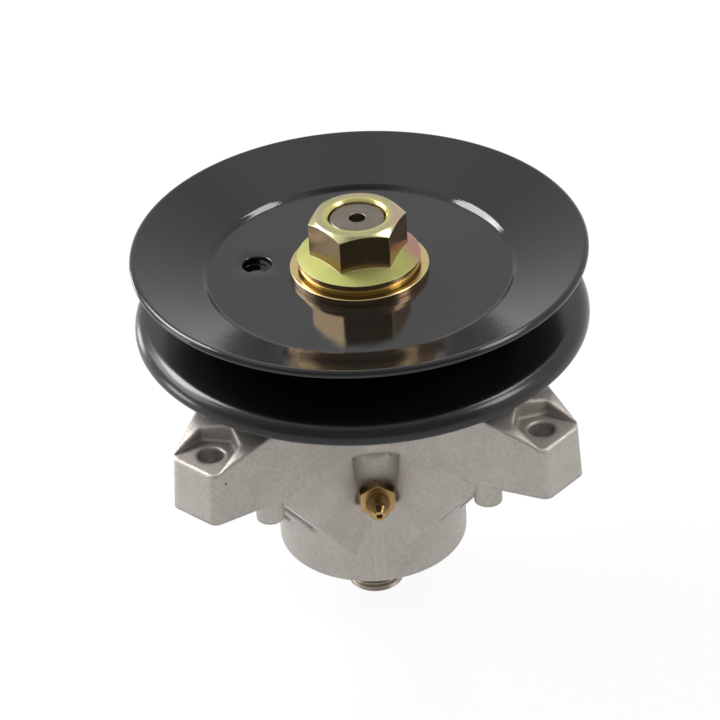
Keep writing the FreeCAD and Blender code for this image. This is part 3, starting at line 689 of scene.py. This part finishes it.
def make_yellow_zinc(rgb):
    """Yellow zinc plating: gold to rose brown on upright faces, grey gold to rose on the nut's top with
    a yellow green mouth painted lighter as its highlight, a dull collar of the given green with rose on
    one side, a seat under it painted dark as the shade under the collar, a gold washer with a rose rim,
    and edges painted lighter as wear and a painted highlight."""
    n, to = new_finish("yellow_zinc", Metallic=1.0)
    film = effect(n, "plating_film", Scale=45.0, Foot=PLATING_FOOT, Top=PLATING_TOP)
    edge = effect(n, "edge_wear_and_highlight", Reach=0.0006, Breakup=0.25)["Edge"]
    level, drift = film["Level"], film["Drift"]
    up = n.span(n.split(n.facing())[2], 0.3, 0.8)
    washer = n.span(level, *WASHER_TOP, 1.0, 0.0)
    # The seat between the washer and the collar is painted dark: painted shade under the collar.
    seat = n.math("MULTIPLY", n.span(level, *WASHER_TOP), n.span(level, *COLLAR_FOOT, 1.0, 0.0))
    collar = n.math("MULTIPLY", n.span(level, *COLLAR_FOOT), n.span(level, *COLLAR_TOP, 1.0, 0.0))
    collar = n.math("MULTIPLY", collar, up)
    x, y, _ = n.split(n.place())
    aside = n.math("MULTIPLY_ADD", y, ROSE_LEAN, x)
    rose = n.math("MULTIPLY", n.span(aside, *ROSE_EDGE), n.span(drift, 0.2, 0.6, 0.7, 1.0))
    # The mouth is yellow green plating, painted lighter as the highlight on its chamfer.
    mouth = n.span(n.across(), *MOUTH_EDGE, 1.0, 0.0)
    upright = n.mix(drift, PLATING["upright_gold"], PLATING["upright_rose"])
    top = n.mix(mouth, n.mix(drift, PLATING["top_green"], PLATING["top_rose"]), PLATING["mouth"])
    tone = n.mix(up, upright, top)
    tone = n.mix(collar, tone, n.mix(rose, rgb, PLATING["collar_rose"]))
    # Painted shade: the seat under the collar is darkened.
    tone = n.mix(seat, tone, PLATING["seat"])
    tone = n.mix(washer, tone, n.mix(up, PLATING["washer_rim"], PLATING["washer_top"]))
    tone = n.mix(n.math("MULTIPLY", film["Cloud"], 0.12), tone, shade(rgb, 0.6))
    # Edges are painted lighter: wear and a painted highlight.
    n.put(to["Base Color"], n.mix(n.math("MULTIPLY", edge, 0.6), tone, PLATING["wear_and_highlight"]))
    dull = n.math("MULTIPLY_ADD", collar, 0.50, 0.17)
    n.put(to["Roughness"], n.math("MULTIPLY_ADD", film["Cloud"], 0.06, dull))
    n.put(to["Normal"], bump(n, film["Height"], distance=0.00001, normal=rounded_normal(n, 0.0005)))


def make_turned(name, rgb, rough, spacing, depth, round_reach, foot_gain=1.0):
    """Turned metal: ring marks, cloudy tone and softened edges painted lighter as wear and a painted
    highlight, brighter by the gain near the foot.
    """
    n, to = new_finish(name, Metallic=1.0)
    marks = effect(n, "turning_marks", Spacing=spacing)
    edge = effect(n, "edge_wear_and_highlight", Reach=round_reach, Breakup=0.3)["Edge"]
    plain, bright = (n.mix(marks["Tone"], shade(rgb, 0.78 * gain), shade(rgb, 1.1 * gain))
                     for gain in (1.0, foot_gain))
    tone = n.mix(n.span(n.height(), *STUD_TOP, 1.0, 0.0), plain, bright)
    # Edges are painted lighter: wear and a painted highlight.
    n.put(to["Base Color"], n.mix(edge, tone, shade(rgb, 1.5)))
    n.put(to["Roughness"], n.span(marks["Tone"], 0.0, 1.0, rough * 1.2, rough * 0.85))
    n.put(to["Normal"], bump(n, marks["Height"], depth, rounded_normal(n, round_reach)))


def make_seal_rubber(rgb):
    """Moulded rubber: near black, fine matt grain."""
    n, to = new_finish("seal_rubber")
    place = n.place()
    grain = n.noise(place, scale=2600.0, detail=3.0, roughness=0.6)
    cloud = n.noise(place, scale=160.0, detail=3.0)
    n.put(to["Base Color"], n.mix(cloud, shade(rgb, 0.7), shade(rgb, 1.5)))
    n.put(to["Roughness"], n.span(grain, 0.3, 0.7, 0.5, 0.68))
    n.put(to["Normal"], bump(n, grain, distance=0.00002))


# Operators

class SpindleOperator:
    """What the spindle's operators share."""
    bl_options = {"REGISTER", "UNDO"}


class OBJECT_OT_spindle_finishes(SpindleOperator, bpy.types.Operator):
    """Build the finishes and give each CAD node the one its slot names"""
    bl_idname = "object.spindle_finishes"
    bl_label = "Spindle Finishes"

    def execute(self, context):
        look = context.scene.spindle_finishes
        for node in frame["nodes"].values():
            node.data.materials.clear()
        for material in list(bpy.data.materials):
            bpy.data.materials.remove(material)
        build_edge_group()
        build_skin_group()
        build_rings_group()
        build_plating_group()
        make_cast_aluminium(tuple(look.cast_aluminium))
        make_black_paint(tuple(look.black_paint))
        make_yellow_zinc(tuple(look.yellow_zinc))
        make_turned("shaft_steel", tuple(look.shaft_steel), rough=0.34, spacing=0.0003, depth=0.00001,
                    round_reach=0.0003, foot_gain=2.2)
        make_turned("bearing_steel", tuple(look.bearing_steel), rough=0.2, spacing=0.0002, depth=0.000004,
                    round_reach=0.0003)
        make_turned("brass", tuple(look.brass), rough=0.26, spacing=0.00022, depth=0.000006,
                    round_reach=0.00025)
        make_seal_rubber(tuple(look.seal_rubber))
        for part in frame["record"]["subparts"]:
            node = frame["nodes"][part["node"]]
            node.data.materials.append(bpy.data.materials[part["material_slot"]])
        return {"FINISHED"}


class OBJECT_OT_spindle_shaft(SpindleOperator, bpy.types.Operator):
    """Build the turned shaft with its two threads and star-shaped blade seat"""
    bl_idname = "object.spindle_shaft"
    bl_label = "Spindle Shaft"

    def execute(self, context):
        points, faces = shaft_surface(context.scene.spindle_shaft)
        lay_mesh("threaded_shaft", points, faces, "rotor", "shaft_steel", ["spindle_shaft"])
        return {"FINISHED"}


class OBJECT_OT_spindle_pulley(SpindleOperator, bpy.types.Operator):
    """Build the two pressed dishes of the pulley"""
    bl_idname = "object.spindle_pulley"
    bl_label = "Pressed Pulley"

    def execute(self, context):
        sizes = context.scene.spindle_pulley
        for name, path in (("upper", upper_path(sizes)), ("lower", lower_path(sizes))):
            points, faces = pressed_dish(sizes, *path)
            lay_mesh(f"pressed_{name}_dish", points, faces, "rotor", "black_paint",
                     [f"pulley_{name}_half"])
        return {"FINISHED"}


class OBJECT_OT_spindle_fitting_spring(SpindleOperator, bpy.types.Operator):
    """Build the grease fitting's coil spring"""
    bl_idname = "object.spindle_fitting_spring"
    bl_label = "Fitting Spring"

    def execute(self, context):
        sizes = context.scene.spindle_fitting_spring
        low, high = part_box("grease_fitting_spring")
        points, faces = coil_surface(sizes, low, high)
        spring = lay_mesh("fitting_coil_spring", points, faces, "housing", "bearing_steel",
                          ["grease_fitting_spring"])
        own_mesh(spring)
        return {"FINISHED"}


class OBJECT_OT_spindle_stage(SpindleOperator, bpy.types.Operator):
    """Build the floor, the lamps, the surround and the camera"""
    bl_idname = "object.spindle_stage"
    bl_label = "Spindle Stage"

    def execute(self, context):
        scene = context.scene
        look = scene.spindle_stage
        scene.view_settings.view_transform = "Standard"
        self.lay_floor(look)
        self.light_surround(scene, look)
        for lamp in LAMPS:
            self.hang_lamp(scene, *lamp)
        self.set_camera(scene, look)
        return {"FINISHED"}

    @staticmethod
    def set_camera(scene, look):
        """The photo's camera."""
        back = Vector((math.sin(look.azimuth) * math.cos(look.elevation),
                       -math.cos(look.azimuth) * math.cos(look.elevation), math.sin(look.elevation)))
        camera = bpy.data.objects.new("photo_camera", bpy.data.cameras.new("photo_camera"))
        camera.data.sensor_width = SENSOR_WIDTH
        camera.data.lens = look.lens
        camera.location = CAMERA_AIM + back * look.distance
        turn = (-back).to_track_quat("-Z", "Y").to_matrix()
        camera.rotation_euler = (turn @ Matrix.Rotation(look.roll, 3, "Z")).to_euler()
        scene.collection.objects.link(camera)
        scene.camera = camera

    @staticmethod
    def hang_lamp(scene, name, azimuth, elevation, distance, width, height, radiance):
        """A rectangular lamp that faces the pulley; its direction is given in degrees from straight
        behind. Fills and strips have the tint of the sky."""
        across, rise = math.radians(azimuth), math.radians(elevation)
        way = Vector((math.sin(across) * math.cos(rise), math.cos(across) * math.cos(rise),
                      math.sin(rise)))
        light = bpy.data.lights.new(name, "AREA")
        light.shape = "RECTANGLE"
        light.size, light.size_y = width, height
        light.energy = radiance * math.pi * width * height
        light.color = SKY_TINT if name.startswith(("fill", "strip")) else LAMP_TINT
        lamp = bpy.data.objects.new(name, light)
        lamp.location = LAMP_TARGET + way * distance
        lamp.rotation_euler = (-way).to_track_quat("-Z", "Y").to_euler()
        lamp.visible_camera = False
        scene.collection.objects.link(lamp)

    @staticmethod
    def lay_floor(look):
        """A wide pale floor under the stud; seen directly and in reflections it is lifted towards
        white."""
        level = CAD_BOX[0][2] - FLOOR_GAP
        corners = [(x * FLOOR_REACH, y * FLOOR_REACH, level) for x, y in ((-1, -1), (1, -1), (1, 1), (-1, 1))]
        mesh = bpy.data.meshes.new("floor")
        mesh.from_pydata(corners, [], [(0, 1, 2, 3)])
        floor = bpy.data.objects.new("floor", mesh)
        bpy.context.scene.collection.objects.link(floor)
        n, to = new_finish("floor_white", Roughness=0.8)
        to["Base Color"].default_value = (*look.floor, 1.0)
        path = n.add("ShaderNodeLightPath").outputs
        seen = n.math("MAXIMUM", n.math("MAXIMUM", path["Is Camera Ray"], path["Is Glossy Ray"]),
                      path["Is Transmission Ray"])
        glow = n.add("ShaderNodeEmission")
        mixed = n.add("ShaderNodeMixShader")
        n.put(mixed.inputs[0], n.math("MULTIPLY", seen, FLOOR_GLOW))
        n.put(mixed.inputs[1], n.tree.nodes["Principled BSDF"].outputs[0])
        n.put(mixed.inputs[2], glow.outputs[0])
        n.put(n.tree.nodes["Material Output"].inputs["Surface"], mixed.outputs[0])
        mesh.materials.append(bpy.data.materials["floor_white"])

    @staticmethod
    def light_surround(scene, look):
        """An even surround, white where it is seen directly; reflections see it white behind, dimmer in
        front, brighter high up and dark overhead."""
        world = bpy.data.worlds.new("surround")
        scene.world = world
        world.use_nodes = True
        n = Nodes(world.node_tree)
        path = n.add("ShaderNodeLightPath").outputs
        background = n.tree.nodes["Background"]
        n.put(background.inputs["Color"], (1.0, 1.0, 1.0, 1.0))
        _, y, z = n.split(n.add("ShaderNodeTexCoord").outputs["Generated"])
        room = n.span(y, -0.75, 0.3, 0.4, 1.0)
        room = n.math("ADD", room, n.span(z, 0.75, 0.92, 0.0, 0.35))
        room = n.math("ADD", room, n.span(z, 0.94, 0.99, 0.0, -0.75))
        glossy = n.math("MAXIMUM", path["Is Glossy Ray"], path["Is Transmission Ray"])
        level = n.span(glossy, 0.0, 1.0, look.surround, room)
        n.put(background.inputs["Strength"], n.math("MAXIMUM", level, path["Is Camera Ray"]))


class VIEW3D_PT_spindle(bpy.types.Panel):
    """The spindle's operators in the sidebar"""
    bl_idname = "VIEW3D_PT_spindle"
    bl_label = "Mower Deck Spindle"
    bl_space_type = "VIEW_3D"
    bl_region_type = "UI"
    bl_category = "Spindle"

    def draw(self, context):
        for operator in OPERATORS:
            self.layout.operator(operator.bl_idname)


OPERATORS = (OBJECT_OT_spindle_finishes, OBJECT_OT_spindle_shaft, OBJECT_OT_spindle_pulley,
             OBJECT_OT_spindle_fitting_spring, OBJECT_OT_spindle_stage)
GROUPS = {"spindle_shaft": SpindleShaftSizes, "spindle_pulley": PulleySizes,
          "spindle_fitting_spring": FittingSpringSizes, "spindle_finishes": SpindleFinishes,
          "spindle_stage": StageLook}
CLASSES = tuple(GROUPS.values()) + OPERATORS + (VIEW3D_PT_spindle,)


def register():
    for cls in CLASSES:
        bpy.utils.register_class(cls)
    for name, group in GROUPS.items():
        setattr(bpy.types.Scene, name, bpy.props.PointerProperty(type=group))


def unregister():
    for name in GROUPS:
        delattr(bpy.types.Scene, name)
    for cls in reversed(CLASSES):
        bpy.utils.unregister_class(cls)


def main():
    register()
    bpy.ops.object.spindle_finishes()
    bpy.ops.object.spindle_shaft()
    bpy.ops.object.spindle_pulley()
    bpy.ops.object.spindle_fitting_spring()
    bpy.ops.object.spindle_stage()


if __name__ == "__main__":
    main()
